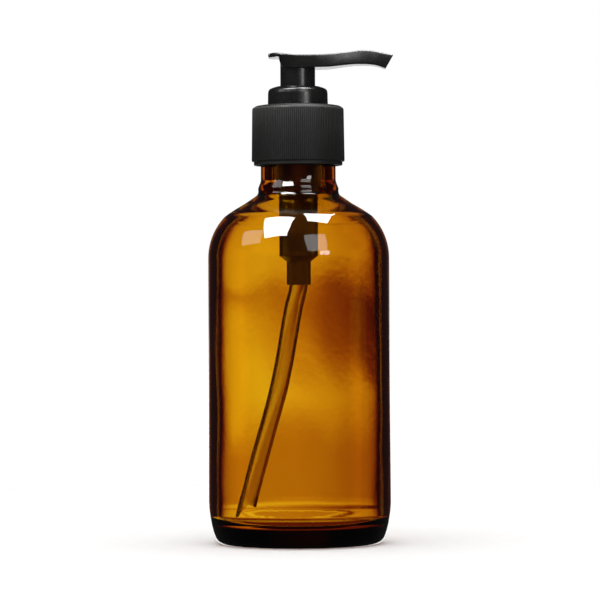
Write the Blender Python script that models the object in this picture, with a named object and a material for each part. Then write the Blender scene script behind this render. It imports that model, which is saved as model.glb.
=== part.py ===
"""Soap pump dispenser: a round glass bottle with a 28 mm screw-on lotion pump, locked down.

Metres, +Z up, the bottle's axis on Z and its resting ring at z = 0. The spout points to +X.
Every size below is in millimetres and turned into metres where the meshes are made.
"""

from math import cos, radians, sin, tau

import bmesh
import bpy
from mathutils import Vector

MM = 0.001
GAP = 0.3  # between pieces that touch
TURNED_STEPS = 36  # facets round every turned piece, so that neighbours' facets line up

# --- bottle ---------------------------------------------------------------------------------
BODY_R = 30.35  # at the heel; the wall draws in a little towards the shoulder
SHOULDER_START_R = 30.1
WALL = 2.5
RING_OUTER_R, RING_INNER_R = 26.0, 23.4  # the flat ring it stands on
PUSH_UP = 1.6  # how far the middle of the base is off the table
HEEL_TOP_Z = 12.5
FLOOR_Z = 6.2
SHOULDER_Z = 95.0
SHOULDER_ARC_R = 20.0
SHOULDER_ARC_DEG = 44.0
NECK_R = 12.4
NECK_FOOT_R, NECK_FOOT_Z = 13.5, 116.2
NECK_BORE_R = 9.0
FINISH_TOP_Z = 141.2
THREAD_ROOT_R = 12.5
THREAD_CREST_R = 13.6

# --- screw thread shared by the bottle and the cap ------------------------------------------
PITCH = 25.4 / 6
THREAD_TURNS = 1.5
CAP_THREAD_TURNS = 1.25
THREAD_START_Z = 133.2
THREAD_STEPS = 36  # per turn

# --- screw cap ------------------------------------------------------------------------------
CAP_TOP_Z = 145.7
CAP_PLATE = 1.6
CAP_TOP_R, CAP_BOTTOM_R = 15.25, 15.5
CAP_BORE_R = 13.95
CAP_THREAD_CREST_R = 12.95
CAP_HOLE_R = 10.4
CAP_BOTTOM_Z = 125.8
RIB_BOTTOM_Z = 127.3
RIB_COUNT = 72
RIB_DEPTH = 0.3
SKIRT_LIP_R = 14.75

# --- pump housing, coaxial with the bottle --------------------------------------------------
FLANGE_R, FLANGE_TOP_Z, FLANGE_T = 12.9, 143.8, 1.0
GASKET_T = 1.0
GASKET_OUTER_R, GASKET_INNER_R = 12.5, 7.9
RIM_R, RIM_BORE_R, RIM_TOP_Z = 8.3, 7.2, 149.8
SNAP_R, SNAP_Z = 8.65, 147.0
UPPER_R, UPPER_BORE_R = 7.5, 6.5
LOWER_R, LOWER_BORE_R = 6.4, 5.4
STEP_Z = 114.4
CHAMBER_FLOOR_Z = 96.8
SEAT_HOLE_R, SEAT_HOLE_Z = 1.6, 95.4
SOCKET_R, SOCKET_BORE_R = 4.05, 3.4
SOCKET_TOP_Z, SOCKET_BOTTOM_Z = 94.5, 86.0

# --- dip tube -------------------------------------------------------------------------------
TUBE_R, TUBE_BORE_R = 3.1, 2.65
TUBE_SLANT = 4.0  # the end is cut on a slant, so that it can't seal on the floor
# x and z of the tube's curl, from inside the socket down to the bottle's floor
TUBE_ROUTE = [(0, 94.2), (-0.1, 86), (-1.7, 79), (-3.1, 71.5), (-4.9, 61), (-7.7, 48.5), (-11.2, 36)]
TUBE_ROUTE += [(-14.6, 24), (-17.7, 12.5)]
TUBE_STATIONS = 30
TUBE_SIDES = 16

# --- locking collar -------------------------------------------------------------------------
COLLAR_R, COLLAR_BASE_R = 9.9, 10.05
COLLAR_BORE_R = 8.6
COLLAR_SHOULDER_Z, COLLAR_TOP_Z = 151.15, 152.1
WELL_R, WELL_OUTER_R = 6.05, 6.85
WELL_FLOOR_Z, WELL_BOTTOM_Z = 144.6, 143.4
GUIDE_R, GUIDE_BORE_R, GUIDE_TOP_Z = 4.4, 3.65, 150.0

# --- plunger --------------------------------------------------------------------------------
STROKE = 14.0  # from locked down to fully up
STEM_R, STEM_BORE_R = 3.3, 2.1
STEM_BOTTOM_Z, STEM_TOP_Z = 119.8, 157.9
STOP_RING_R, STOP_RING_Z, STOP_RING_T = 4.2, 127.9, 1.0
ROD_FLANGE_R, ROD_FLANGE_Z, ROD_FLANGE_T = 4.9, 117.3, 1.2
ROD_TAIL_R, ROD_TAIL_Z = 2.6, 110.0
ROD_RIB_R, ROD_RIB_T, ROD_TOP_Z = 1.75, 0.9, 126.0
PISTON_R, PISTON_LIP_R = 6.2, 5.5
PISTON_BOTTOM_Z, PISTON_TOP_Z = 119.0, 126.6
PISTON_SLEEVE_R, PISTON_SLEEVE_BORE_R = 4.4, 3.6
SKIRT_R, SKIRT_BORE_R = 5.75, 4.75
SKIRT_BOTTOM_Z = 145.0
STEM_SOCKET_R = 3.6
STEM_SOCKET_Z = 150.6

# --- return spring, ball cage and ball ------------------------------------------------------
SPRING_R, WIRE_R = 4.3, 0.4
SPRING_TURNS = 8.5
SPRING_BOTTOM_Z, SPRING_TOP_Z = 103.3, ROD_FLANGE_Z - GAP
SPRING_STEPS, WIRE_SIDES = 14, 6
CAGE_R, CAGE_BORE_R = 5.1, 2.75
CAGE_BOTTOM_Z, CAGE_TOP_Z = 97.1, 103.0
CAGE_BAR_Z, CAGE_BAR_W = 101.4, 1.0
BALL_R, BALL_Z = 2.2, 97.34

# --- actuator head --------------------------------------------------------------------------
# Each station along the head: x, z and half width of its top edge, then of its bottom edge.
HEAD_STATIONS = [
    (-9.8, 162.6, 2.4, -9.6, 161.8, 2.2),
    (-9.3, 162.9, 4.5, -9.2, 161.6, 4.3),
    (-8.0, 163.05, 6.2, -8.0, 161.6, 6.0),
    (-6.3, 162.95, 7.3, -6.3, 161.6, 7.1),
    (-5.9, 162.9, 7.4, -5.7, 159.6, 3.6),
    (-4.7, 162.75, 7.7, -4.8, 158.3, 4.6),
    (-2.5, 162.5, 7.8, -2.5, 158.1, 6.5),
    (0.5, 162.3, 7.8, 0.5, 158.1, 7.5),
    (6.0, 162.3, 7.8, 6.0, 158.1, 7.6),
    (10.5, 162.55, 7.3, 10.5, 158.45, 7.1),
    (14.5, 162.95, 6.5, 14.5, 158.85, 6.3),
    (18.0, 163.3, 5.7, 18.0, 159.1, 5.5),
    (21.3, 163.65, 5.0, 21.3, 159.2, 4.8),
    (24.6, 163.6, 4.5, 24.2, 159.1, 4.3),
    (28.0, 163.05, 4.0, 26.7, 158.7, 3.8),
    (31.4, 162.4, 3.7, 28.9, 157.8, 3.5),
]
HEAD_CORNER = 0.55
BOSS_TOP_Z = 160.6
CHANNEL_R = 1.4
CHANNEL_ROUTE = [(0, 160.1), (8, 160.4), (14.5, 160.9), (20, 161.35)]
CHANNEL_ROUTE += [(24.4, 161.25), (27.5, 160.8), (30, 160), (33, 158.9)]
CHANNEL_SIDES = 12
RISER_R = 1.8


def clear_scene():
    for thing in list(bpy.data.objects):
        bpy.data.objects.remove(thing, do_unlink=True)


def make_material(name, colour, roughness, transmission=0.0):
    material = bpy.data.materials.new(name)
    material.use_nodes = True
    shader = material.node_tree.nodes["Principled BSDF"]
    shader.inputs["Base Color"].default_value = (*colour, 1.0)
    shader.inputs["Roughness"].default_value = roughness
    shader.inputs["Metallic"].default_value = 0.0
    shader.inputs["Transmission Weight"].default_value = transmission
    material.diffuse_color = (*colour, 1.0)
    return material


def make_metal(name, colour, roughness):
    material = make_material(name, colour, roughness)
    material.node_tree.nodes["Principled BSDF"].inputs["Metallic"].default_value = 1.0
    return material


def finish(bm, name, material):
    """Turns a closed bmesh in millimetres into a smooth-shaded object in metres."""
    bmesh.ops.scale(bm, vec=(MM, MM, MM), verts=bm.verts)
    bmesh.ops.recalc_face_normals(bm, faces=bm.faces)
    mesh = bpy.data.meshes.new(name)
    bm.to_mesh(mesh)
    bm.free()
    mesh.shade_smooth()
    mesh.set_sharp_from_angle(angle=radians(35))
    thing = bpy.data.objects.new(name, mesh)
    if material:
        mesh.materials.append(material)
    bpy.context.scene.collection.objects.link(thing)
    return thing


def arc(centre_r, centre_z, radius, start_deg, end_deg, steps):
    """Points of a circular arc in the (r, z) plane, both ends included."""
    angles = [radians(start_deg + (end_deg - start_deg) * k / steps) for k in range(steps + 1)]
    return [(centre_r + radius * cos(a), centre_z + radius * sin(a)) for a in angles]


def ring_of(bm, r, z, radius_at, steps):
    if r < 1e-6:
        return [bm.verts.new((0, 0, z))]
    ring = []
    for k in range(steps):
        angle = tau * k / steps
        radius = radius_at(r, z, k)
        ring.append(bm.verts.new((radius * cos(angle), radius * sin(angle), z)))
    return ring


def join_rings(bm, low, high):
    count = max(len(low), len(high))
    for k in range(count):
        after = (k + 1) % count
        corners = [low[k % len(low)], low[after % len(low)], high[after % len(high)], high[k % len(high)]]
        distinct = list(dict.fromkeys(corners))
        if len(distinct) > 2:
            bm.faces.new(distinct)


def turned_bmesh(outline, steps=TURNED_STEPS, radius_at=lambda r, z, k: r):
    """A closed outline of (r, z) points spun round Z. radius_at can vary the radius facet by facet."""
    bm = bmesh.new()
    rings = [ring_of(bm, r, z, radius_at, steps) for r, z in outline]
    for low, high in zip(rings, rings[1:] + rings[:1]):
        if len(low) > 1 or len(high) > 1:
            join_rings(bm, low, high)
    return bm


def turned(name, outline, material, **options):
    return finish(turned_bmesh(outline, **options), name, material)


def loft_bmesh(sections):
    """Closed loops of points joined in order, with a flat cap at each end."""
    bm = bmesh.new()
    loops = [[bm.verts.new(point) for point in section] for section in sections]
    for first, second in zip(loops, loops[1:]):
        join_rings(bm, first, second)
    bm.faces.new(loops[0])
    bm.faces.new(loops[-1])
    return bm


def smooth_route(points, stations):
    """Evenly spread points on a Catmull-Rom curve through (x, z) points, as 3-D points at y = 0."""
    ends = [points[0], *points, points[-1]]
    route = []
    spans = len(points) - 1
    for k in range(stations + 1):
        span = min(int(k * spans / stations), spans - 1)
        t = k * spans / stations - span
        p0, p1, p2, p3 = (Vector(p) for p in ends[span : span + 4])
        square = (2 * p0 - 5 * p1 + 4 * p2 - p3) * t**2
        cube = (3 * p1 - p0 - 3 * p2 + p3) * t**3
        point = 0.5 * (2 * p1 + (p2 - p0) * t + square + cube)
        route.append(Vector((point.x, 0, point.y)))
    return route


def loops_along(route, radius, sides, slant=0.0):
    """Round sections square to a route in the XZ plane; the last one is slanted by up to slant."""
    loops = []
    for k, centre in enumerate(route):
        along = (route[min(k + 1, len(route) - 1)] - route[max(k - 1, 0)]).normalized()
        across = Vector((along.z, 0, -along.x))
        shift = slant if k == len(route) - 1 else 0.0
        loop = []
        for s in range(sides):
            angle = tau * s / sides
            outward = across * cos(angle) + Vector((0, sin(angle), 0))
            loop.append(centre + (outward + along * shift * cos(angle)) * radius)
        loops.append(loop)
    return loops


def as_helper(thing):
    thing.hide_render = True
    thing.display_type = "WIRE"
    return thing


def combine(thing, helper, operation):
    modifier = thing.modifiers.new(f"{operation} {helper.name}", "BOOLEAN")
    modifier.operation = operation
    modifier.object = as_helper(helper)
    modifier.solver = "EXACT"


def thread_ridge(name, wall_r, sunk_r, crest_r, start_z, turns, base_w, crest_w):
    """A right-handed screw ridge whose ends run out into the wall."""
    count = round(turns * THREAD_STEPS)
    run_out = 3
    sections = []
    for k in range(count + 1):
        angle = tau * k / THREAD_STEPS
        z = start_z + PITCH * k / THREAD_STEPS
        share = min(1.0, k / run_out, (count - k) / run_out)
        top_r = wall_r + (crest_r - wall_r) * share + (sunk_r - wall_r) * 0.2 * (1 - share)
        ridge = [(sunk_r, -base_w / 2), (top_r, -crest_w / 2), (top_r, crest_w / 2), (sunk_r, base_w / 2)]
        sections.append([(r * cos(angle), r * sin(angle), z + dz) for r, dz in ridge])
    return finish(loft_bmesh(sections), name, None)


def bottle_outline():
    arc_centre_r = SHOULDER_START_R - SHOULDER_ARC_R
    heel = [(RING_OUTER_R, 0), (26.9, 0.35), (27.6, 1.0), (28.15, 1.8), (28.65, 3.0), (29.15, 4.6)]
    heel += [(29.6, 6.5), (30.0, 8.8)]
    outside = [(0, PUSH_UP), (9, 1.45), (17, 0.95), (RING_INNER_R, 0), *heel, (BODY_R, HEEL_TOP_Z)]
    outside += arc(arc_centre_r, SHOULDER_Z, SHOULDER_ARC_R, 0, SHOULDER_ARC_DEG, 6)
    outside += [(22.5, 110.3), (20.2, 111.75), (17.8, 113.15), (15.6, 114.65), (14.2, 115.6)]
    outside += [(NECK_FOOT_R, NECK_FOOT_Z), (13.4, 117.3), (13.2, 118.4), (12.8, 119.8)]
    outside += [(12.45, 121.3), (NECK_R, 123.0), (THREAD_ROOT_R, 127.0), (THREAD_ROOT_R, FINISH_TOP_Z - 0.5)]
    outside += [(THREAD_ROOT_R - 0.5, FINISH_TOP_Z)]
    inside = [(NECK_BORE_R + 0.5, FINISH_TOP_Z), (NECK_BORE_R, FINISH_TOP_Z - 0.5), (NECK_BORE_R, 119.5)]
    inside += [(9.6, 117.0), (11.2, 114.6), (14.2, 112.5), (17.2, 110.6)]
    inside += arc(arc_centre_r, SHOULDER_Z, SHOULDER_ARC_R - WALL - 0.1, 50, 0, 6)
    inside += [(BODY_R - WALL, HEEL_TOP_Z + 2)]
    inside += arc(BODY_R - WALL - 6.5, FLOOR_Z + 6.5, 6.5, 0, -90, 6)[1:]
    inside += [(11, FLOOR_Z + 0.2), (0, FLOOR_Z + 0.4)]
    return outside + inside


def build_bottle(glass):
    bottle = turned("glass_bottle", bottle_outline(), glass)
    ridge = thread_ridge(
        "bottle_thread",
        wall_r=THREAD_ROOT_R,
        sunk_r=THREAD_ROOT_R - 0.5,
        crest_r=THREAD_CREST_R,
        start_z=THREAD_START_Z,
        turns=THREAD_TURNS,
        base_w=2.2,
        crest_w=0.8,
    )
    combine(bottle, ridge, "UNION")


def ribbed(r, z, k):
    """Cap radius: every second facet corner of the outer wall drops into a groove."""
    on_wall = r > CAP_BORE_R + 0.9 and RIB_BOTTOM_Z - 0.01 < z < CAP_TOP_Z - 0.3
    return r - RIB_DEPTH if on_wall and k % 2 else r


def build_cap(plastic):
    plate_z = CAP_TOP_Z - CAP_PLATE
    outline = [
        (CAP_BORE_R, CAP_BOTTOM_Z),
        (SKIRT_LIP_R - 0.4, CAP_BOTTOM_Z),
        (SKIRT_LIP_R, CAP_BOTTOM_Z + 0.4),
        (SKIRT_LIP_R, RIB_BOTTOM_Z - 0.3),
        (CAP_BOTTOM_R, RIB_BOTTOM_Z),
        (CAP_TOP_R, CAP_TOP_Z - 0.7),
        (CAP_TOP_R - 0.5, CAP_TOP_Z - 0.2),
        (CAP_TOP_R - 1.0, CAP_TOP_Z),
        (CAP_HOLE_R, CAP_TOP_Z),
        (CAP_HOLE_R, plate_z),
        (CAP_BORE_R, plate_z),
    ]
    cap = turned("screw_cap", outline, plastic, steps=2 * RIB_COUNT, radius_at=ribbed)
    ridge = thread_ridge(
        "cap_thread",
        wall_r=CAP_BORE_R,
        sunk_r=CAP_BORE_R + 0.5,
        crest_r=CAP_THREAD_CREST_R,
        start_z=THREAD_START_Z - PITCH / 2,
        turns=CAP_THREAD_TURNS,
        base_w=1.7,
        crest_w=0.7,
    )
    combine(cap, ridge, "UNION")


def build_gasket(foam):
    top = FLANGE_TOP_Z - FLANGE_T - GAP
    bottom = top - GASKET_T
    outline = [(GASKET_INNER_R, bottom), (GASKET_OUTER_R, bottom), (GASKET_OUTER_R, top), (GASKET_INNER_R, top)]
    turned("neck_gasket", outline, foam)


def build_housing(plastic):
    flange_z = FLANGE_TOP_Z - FLANGE_T
    outside = [(SOCKET_BORE_R, SOCKET_BOTTOM_Z), (SOCKET_R, SOCKET_BOTTOM_Z), (SOCKET_R, SOCKET_TOP_Z - 0.7)]
    outside += [(LOWER_R, SOCKET_TOP_Z + 1.2), (LOWER_R, STEP_Z - 0.5), (UPPER_R, STEP_Z + 0.3)]
    flange = [(UPPER_R, flange_z), (FLANGE_R, flange_z), (FLANGE_R, FLANGE_TOP_Z), (RIM_R, FLANGE_TOP_Z)]
    snap = [(RIM_R, SNAP_Z - 0.5), (SNAP_R, SNAP_Z - 0.15), (SNAP_R, SNAP_Z + 0.15), (RIM_R, SNAP_Z + 0.5)]
    rim = [(RIM_R, RIM_TOP_Z), (RIM_BORE_R, RIM_TOP_Z), (RIM_BORE_R, flange_z + 0.2)]
    bore = [(UPPER_BORE_R, flange_z - 0.8), (UPPER_BORE_R, STEP_Z + 0.6), (LOWER_BORE_R, STEP_Z - 0.2)]
    seat = [(LOWER_BORE_R, CHAMBER_FLOOR_Z), (SEAT_HOLE_R + 1.4, CHAMBER_FLOOR_Z), (SEAT_HOLE_R, SEAT_HOLE_Z)]
    seat += [(SEAT_HOLE_R, SOCKET_TOP_Z), (SOCKET_BORE_R, SOCKET_TOP_Z)]
    turned("pump_housing", outside + flange + snap + rim + bore + seat, plastic)


def build_collar(plastic):
    foot_z = FLANGE_TOP_Z + GAP
    outside = [(COLLAR_BORE_R, foot_z), (COLLAR_BASE_R, foot_z)]
    outside += arc(COLLAR_R - 0.8, COLLAR_SHOULDER_Z, 0.8, 0, 70, 4)
    mouth = [(7.6, COLLAR_TOP_Z - 0.15), (WELL_R + 0.4, COLLAR_TOP_Z), (WELL_R, COLLAR_TOP_Z - 0.35)]
    guide = [(WELL_R, WELL_FLOOR_Z), (GUIDE_R, WELL_FLOOR_Z), (GUIDE_R, GUIDE_TOP_Z)]
    guide += [(GUIDE_BORE_R, GUIDE_TOP_Z), (GUIDE_BORE_R, WELL_BOTTOM_Z)]
    under_z = RIM_TOP_Z + 0.4
    well = [(WELL_OUTER_R, WELL_BOTTOM_Z), (WELL_OUTER_R, under_z), (COLLAR_BORE_R, under_z)]
    groove_r = SNAP_R + 0.35
    groove = [(COLLAR_BORE_R, SNAP_Z + 0.9), (groove_r, SNAP_Z + 0.6), (groove_r, SNAP_Z - 0.6)]
    groove.append((COLLAR_BORE_R, SNAP_Z - 0.9))
    turned("lock_collar", outside + mouth + guide + well + groove, plastic)


def build_stem(plastic):
    ring_top = STOP_RING_Z + STOP_RING_T
    outline = [
        (STEM_BORE_R, STEM_BOTTOM_Z),
        (STEM_R, STEM_BOTTOM_Z),
        (STEM_R, STOP_RING_Z),
        (STOP_RING_R, STOP_RING_Z),
        (STOP_RING_R, ring_top),
        (STEM_R, ring_top),
        (STEM_R, STEM_TOP_Z),
        (STEM_BORE_R, STEM_TOP_Z),
    ]
    return turned("stem", outline, plastic)


def box_bmesh(size, centre):
    bm = bmesh.new()
    bmesh.ops.create_cube(bm, size=1.0)
    bmesh.ops.scale(bm, vec=size, verts=bm.verts)
    bmesh.ops.translate(bm, vec=centre, verts=bm.verts)
    return bm


def build_piston_rod(plastic):
    """A flange that the spring pushes on, a tail that centres the spring, and crossed ribs in the stem."""
    flange_top = ROD_FLANGE_Z + ROD_FLANGE_T
    outline = [(0, ROD_TAIL_Z), (ROD_TAIL_R - 0.6, ROD_TAIL_Z), (ROD_TAIL_R, ROD_TAIL_Z + 0.6)]
    outline += [(ROD_TAIL_R, ROD_FLANGE_Z), (ROD_FLANGE_R, ROD_FLANGE_Z)]
    outline += [(ROD_FLANGE_R, flange_top), (0, flange_top)]
    rod = turned("piston_rod", outline, plastic)
    height = ROD_TOP_Z - flange_top + 0.5
    middle = (0, 0, flange_top - 0.5 + height / 2)
    for name, size in (
        ("rod_rib_x", (2 * ROD_RIB_R, ROD_RIB_T, height)),
        ("rod_rib_y", (ROD_RIB_T, 2 * ROD_RIB_R, height - 0.2)),
    ):
        combine(rod, finish(box_bmesh(size, middle), name, None), "UNION")
    return rod


def build_piston(seal):
    """A sleeve that rides on the stem, joined by a web to a double-lipped outer wall."""
    web_low, web_high = 122.2, 123.4
    outline = [
        (PISTON_SLEEVE_BORE_R, PISTON_BOTTOM_Z),
        (PISTON_SLEEVE_R, PISTON_BOTTOM_Z),
        (PISTON_SLEEVE_R, web_low),
        (PISTON_LIP_R, web_low),
        (PISTON_LIP_R, PISTON_BOTTOM_Z + 0.5),
        (PISTON_R, PISTON_BOTTOM_Z + 0.5),
        (PISTON_R - 0.25, web_low),
        (PISTON_R - 0.25, web_high),
        (PISTON_R, PISTON_TOP_Z),
        (PISTON_LIP_R, PISTON_TOP_Z),
        (PISTON_LIP_R, web_high),
        (PISTON_SLEEVE_R, web_high),
        (PISTON_SLEEVE_R, PISTON_TOP_Z - 0.2),
        (PISTON_SLEEVE_BORE_R, PISTON_TOP_Z - 0.2),
    ]
    return turned("piston", outline, seal)


def build_spring(steel):
    """A coil whose end turns close up, as ground spring ends do."""
    low, high = SPRING_BOTTOM_Z + WIRE_R, SPRING_TOP_Z - WIRE_R
    count = round(SPRING_TURNS * SPRING_STEPS)
    end_share = 1.0 / SPRING_TURNS
    closed_rise = 1.06 * WIRE_R * 2
    loops = []
    for k in range(count + 1):
        share = k / count
        middle = min(max((share - end_share) / (1 - 2 * end_share), 0.0), 1.0)
        first = min(share / end_share, 1.0)
        last = max((share - 1 + end_share) / end_share, 0.0)
        z = low + closed_rise * (first + last) + (high - low - 2 * closed_rise) * middle
        angle = tau * k / SPRING_STEPS
        out = Vector((cos(angle), sin(angle), 0))
        section = []
        for s in range(WIRE_SIDES):
            turn = tau * s / WIRE_SIDES
            section.append(out * (SPRING_R + WIRE_R * cos(turn)) + Vector((0, 0, z + WIRE_R * sin(turn))))
        loops.append(section)
    return finish(loft_bmesh(loops), "return_spring", steel)


def build_ball_cage(plastic):
    """A ring the spring stands on, with crossed bars that keep the ball near its seat."""
    outline = [(CAGE_BORE_R, CAGE_BOTTOM_Z), (CAGE_R, CAGE_BOTTOM_Z)]
    outline += [(CAGE_R, CAGE_TOP_Z), (CAGE_BORE_R, CAGE_TOP_Z)]
    cage = turned("ball_cage", outline, plastic)
    reach = 2 * (CAGE_BORE_R + 0.8)
    height = CAGE_TOP_Z - 0.3 - CAGE_BAR_Z
    middle = (0, 0, CAGE_BAR_Z + height / 2)
    for name, size in (
        ("cage_bar_x", (reach, CAGE_BAR_W, height)),
        ("cage_bar_y", (CAGE_BAR_W, reach, height - 0.2)),
    ):
        combine(cage, finish(box_bmesh(size, middle), name, None), "UNION")


def build_ball(steel):
    bm = bmesh.new()
    bmesh.ops.create_icosphere(bm, subdivisions=3, radius=BALL_R)
    ball = finish(bm, "inlet_ball", steel)
    ball.location.z = BALL_Z * MM
    return ball


def build_dip_tube(plastic):
    """A hollow tube: an outer and an inner skin along one route, joined by a ring at each end."""
    route = smooth_route(TUBE_ROUTE, TUBE_STATIONS)
    bm = bmesh.new()
    skins = []
    for radius in (TUBE_R, TUBE_BORE_R):
        loops = loops_along(route, radius, TUBE_SIDES, TUBE_SLANT / TUBE_R)
        skins.append([[bm.verts.new(point) for point in loop] for loop in loops])
    outer, inner = skins
    for skin in skins:
        for first, second in zip(skin, skin[1:]):
            join_rings(bm, first, second)
    join_rings(bm, outer[0], inner[0])
    join_rings(bm, outer[-1], inner[-1])
    finish(bm, "dip_tube", plastic)


def head_section(x_top, z_top, w_top, x_low, z_low, w_low):
    """A four-cornered section with rounded corners, from the top edge down to the bottom edge."""
    top, low = Vector((x_top, 0, z_top)), Vector((x_low, 0, z_low))
    down = (low - top).normalized()
    corner = min(HEAD_CORNER, (low - top).length * 0.4)
    side = Vector((0, 1, 0))
    points = []
    for edge, width, quadrant in ((top, w_top, 0), (low, w_low, 1), (low, -w_low, 2), (top, -w_top, 3)):
        inward = 1 if quadrant in (0, 3) else -1
        outward = 1 if width > 0 else -1
        centre = edge + down * corner * inward + side * (width - outward * corner)
        for step in range(3):
            turn = radians(45 * step) if quadrant in (0, 2) else radians(90 - 45 * step)
            offset = side * outward * sin(turn) - down * inward * cos(turn)
            points.append(centre + offset * corner)
    return points


def build_head(plastic):
    """A dished paddle that runs out into the spout, over a skirt that plugs into the collar."""
    sections = [head_section(*station) for station in HEAD_STATIONS]
    head = finish(loft_bmesh(sections), "actuator_head", plastic)
    foot = [(0, SKIRT_BOTTOM_Z), (SKIRT_R - 0.2, SKIRT_BOTTOM_Z), (SKIRT_R, SKIRT_BOTTOM_Z + 0.2)]
    skirt = turned("head_skirt", [*foot, (SKIRT_R, BOSS_TOP_Z), (0, BOSS_TOP_Z)], None)
    combine(head, skirt, "UNION")
    bores = turned(
        "head_bores",
        [
            (0, SKIRT_BOTTOM_Z - 1),
            (SKIRT_BORE_R, SKIRT_BOTTOM_Z - 1),
            (SKIRT_BORE_R, STEM_SOCKET_Z),
            (STEM_SOCKET_R, STEM_SOCKET_Z),
            (STEM_SOCKET_R, STEM_TOP_Z + GAP),
            (RISER_R, STEM_TOP_Z + GAP),
            (RISER_R, CHANNEL_ROUTE[0][1]),
            (0, CHANNEL_ROUTE[0][1]),
        ],
        None,
    )
    combine(head, bores, "DIFFERENCE")
    route = smooth_route(CHANNEL_ROUTE, 14)
    channel = finish(loft_bmesh(loops_along(route, CHANNEL_R, CHANNEL_SIDES)), "spout_channel", None)
    combine(head, channel, "DIFFERENCE")
    return head


def carry(name, height, children):
    """An empty on the bottle's axis that carries the pieces of one moving body."""
    empty = bpy.data.objects.new(name, None)
    empty.empty_display_size = 10 * MM
    empty.location = (0, 0, height * MM)
    bpy.context.scene.collection.objects.link(empty)
    for child in children:
        child.parent = empty
        child.matrix_parent_inverse = empty.matrix_basis.inverted()
    return empty


def main():
    clear_scene()
    glass = make_material("amber_glass", (0.62, 0.25, 0.02), 0.03, transmission=1.0)
    black = make_material("black_plastic", (0.018, 0.017, 0.017), 0.32)
    dark = make_material("housing_plastic", (0.03, 0.028, 0.027), 0.4)
    clear = make_material("clear_tube", (0.85, 0.86, 0.84), 0.15, transmission=0.9)
    seal = make_material("natural_seal", (0.78, 0.77, 0.72), 0.45)
    foam = make_material("gasket_foam", (0.82, 0.82, 0.80), 0.8)
    steel = make_metal("spring_steel", (0.62, 0.62, 0.64), 0.25)
    build_bottle(glass)
    build_cap(black)
    build_gasket(foam)
    build_housing(dark)
    build_collar(black)
    build_dip_tube(clear)
    build_ball_cage(seal)
    ball = build_ball(steel)
    build_spring(steel)
    head = build_head(black)
    plunger = [build_stem(black), build_piston_rod(dark)]
    carry("plunger_axis", ROD_FLANGE_Z, [*plunger, build_piston(seal)])
    carry("head_axis", SKIRT_BOTTOM_Z, [head])
    carry("ball_axis", BALL_Z, [ball])


main()
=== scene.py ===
"""Looks for the soap pump dispenser: an amber glass bottle with a black locked-down lotion pump.

Lengths are in millimetres until a mesh is made. The bottle's axis is Z and the spout points to +X.
"""

from math import atan2, ceil, cos, pi, radians, sin, tan, tau

import bmesh
import bpy
from mathutils import Matrix, Quaternion, Vector, noise


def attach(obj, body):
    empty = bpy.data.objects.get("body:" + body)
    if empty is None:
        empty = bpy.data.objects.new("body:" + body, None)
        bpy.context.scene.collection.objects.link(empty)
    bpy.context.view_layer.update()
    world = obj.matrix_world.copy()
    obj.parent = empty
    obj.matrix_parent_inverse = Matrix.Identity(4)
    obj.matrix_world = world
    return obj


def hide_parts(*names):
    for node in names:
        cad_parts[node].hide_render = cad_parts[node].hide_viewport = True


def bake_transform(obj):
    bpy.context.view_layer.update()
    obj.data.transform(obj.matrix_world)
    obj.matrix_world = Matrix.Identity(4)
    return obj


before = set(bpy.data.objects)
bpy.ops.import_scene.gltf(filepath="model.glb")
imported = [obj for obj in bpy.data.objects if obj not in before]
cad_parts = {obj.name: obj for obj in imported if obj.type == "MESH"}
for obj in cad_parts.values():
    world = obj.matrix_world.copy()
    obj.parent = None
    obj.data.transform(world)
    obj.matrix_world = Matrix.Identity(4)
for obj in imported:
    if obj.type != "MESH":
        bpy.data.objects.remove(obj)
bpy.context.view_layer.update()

MM = 0.001
MERGE_MM = 1e-4  # points closer than this are one point
ON_AXIS_R = 1e-6  # a point nearer to Z than this lies on it
PITCH = 25.4 / 6  # of the screw thread that the bottle and the cap share
THREAD_START_Z = 133.2
SHARP = radians(38)  # an edge that turns more than this stays sharp
FEW_SIDED_SHARP = radians(50)  # the same, for bars and wire with few sides


# --- outlines -------------------------------------------------------------------------------


def arc(centre_r, centre_z, radius, start_deg, end_deg, steps):
    """Points of a circular arc in the (r, z) plane, both ends included."""
    turns = [radians(start_deg + (end_deg - start_deg) * k / steps) for k in range(steps + 1)]
    return [(centre_r + radius * cos(a), centre_z + radius * sin(a)) for a in turns]


def on_curve(t, before, start, end, after):
    """One number on a smooth curve from start at t = 0 to end at t = 1, given its neighbours too."""
    squared = (2 * before - 5 * start + 4 * end - after) * t * t
    cubed = (3 * start - before - 3 * end + after) * t**3
    return 0.5 * (2 * start + (end - before) * t + squared + cubed)


def spline(points, per_span):
    """Points on a smooth curve through tuples of any length, the ends included."""
    padded = [points[0], *points, points[-1]]
    made = []
    for k in range(len(points) - 1):
        for step in range(per_span):
            made.append(tuple(on_curve(step / per_span, *four) for four in zip(*padded[k : k + 4])))
    return made + [tuple(points[-1])]


def straight(start, end, steps):
    """Points from start to end, the end left out."""
    return [tuple(a + (b - a) * k / steps for a, b in zip(start, end)) for k in range(steps)]


SUPPORT = 0.06  # a point this close to each end of a straight run keeps flat faces looking flat
NEARLY_STRAIGHT = radians(176)
LONGEST_SHARE = 0.42  # of a side, that one corner's rounding may take
STEP_ANGLE = radians(18)


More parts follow.
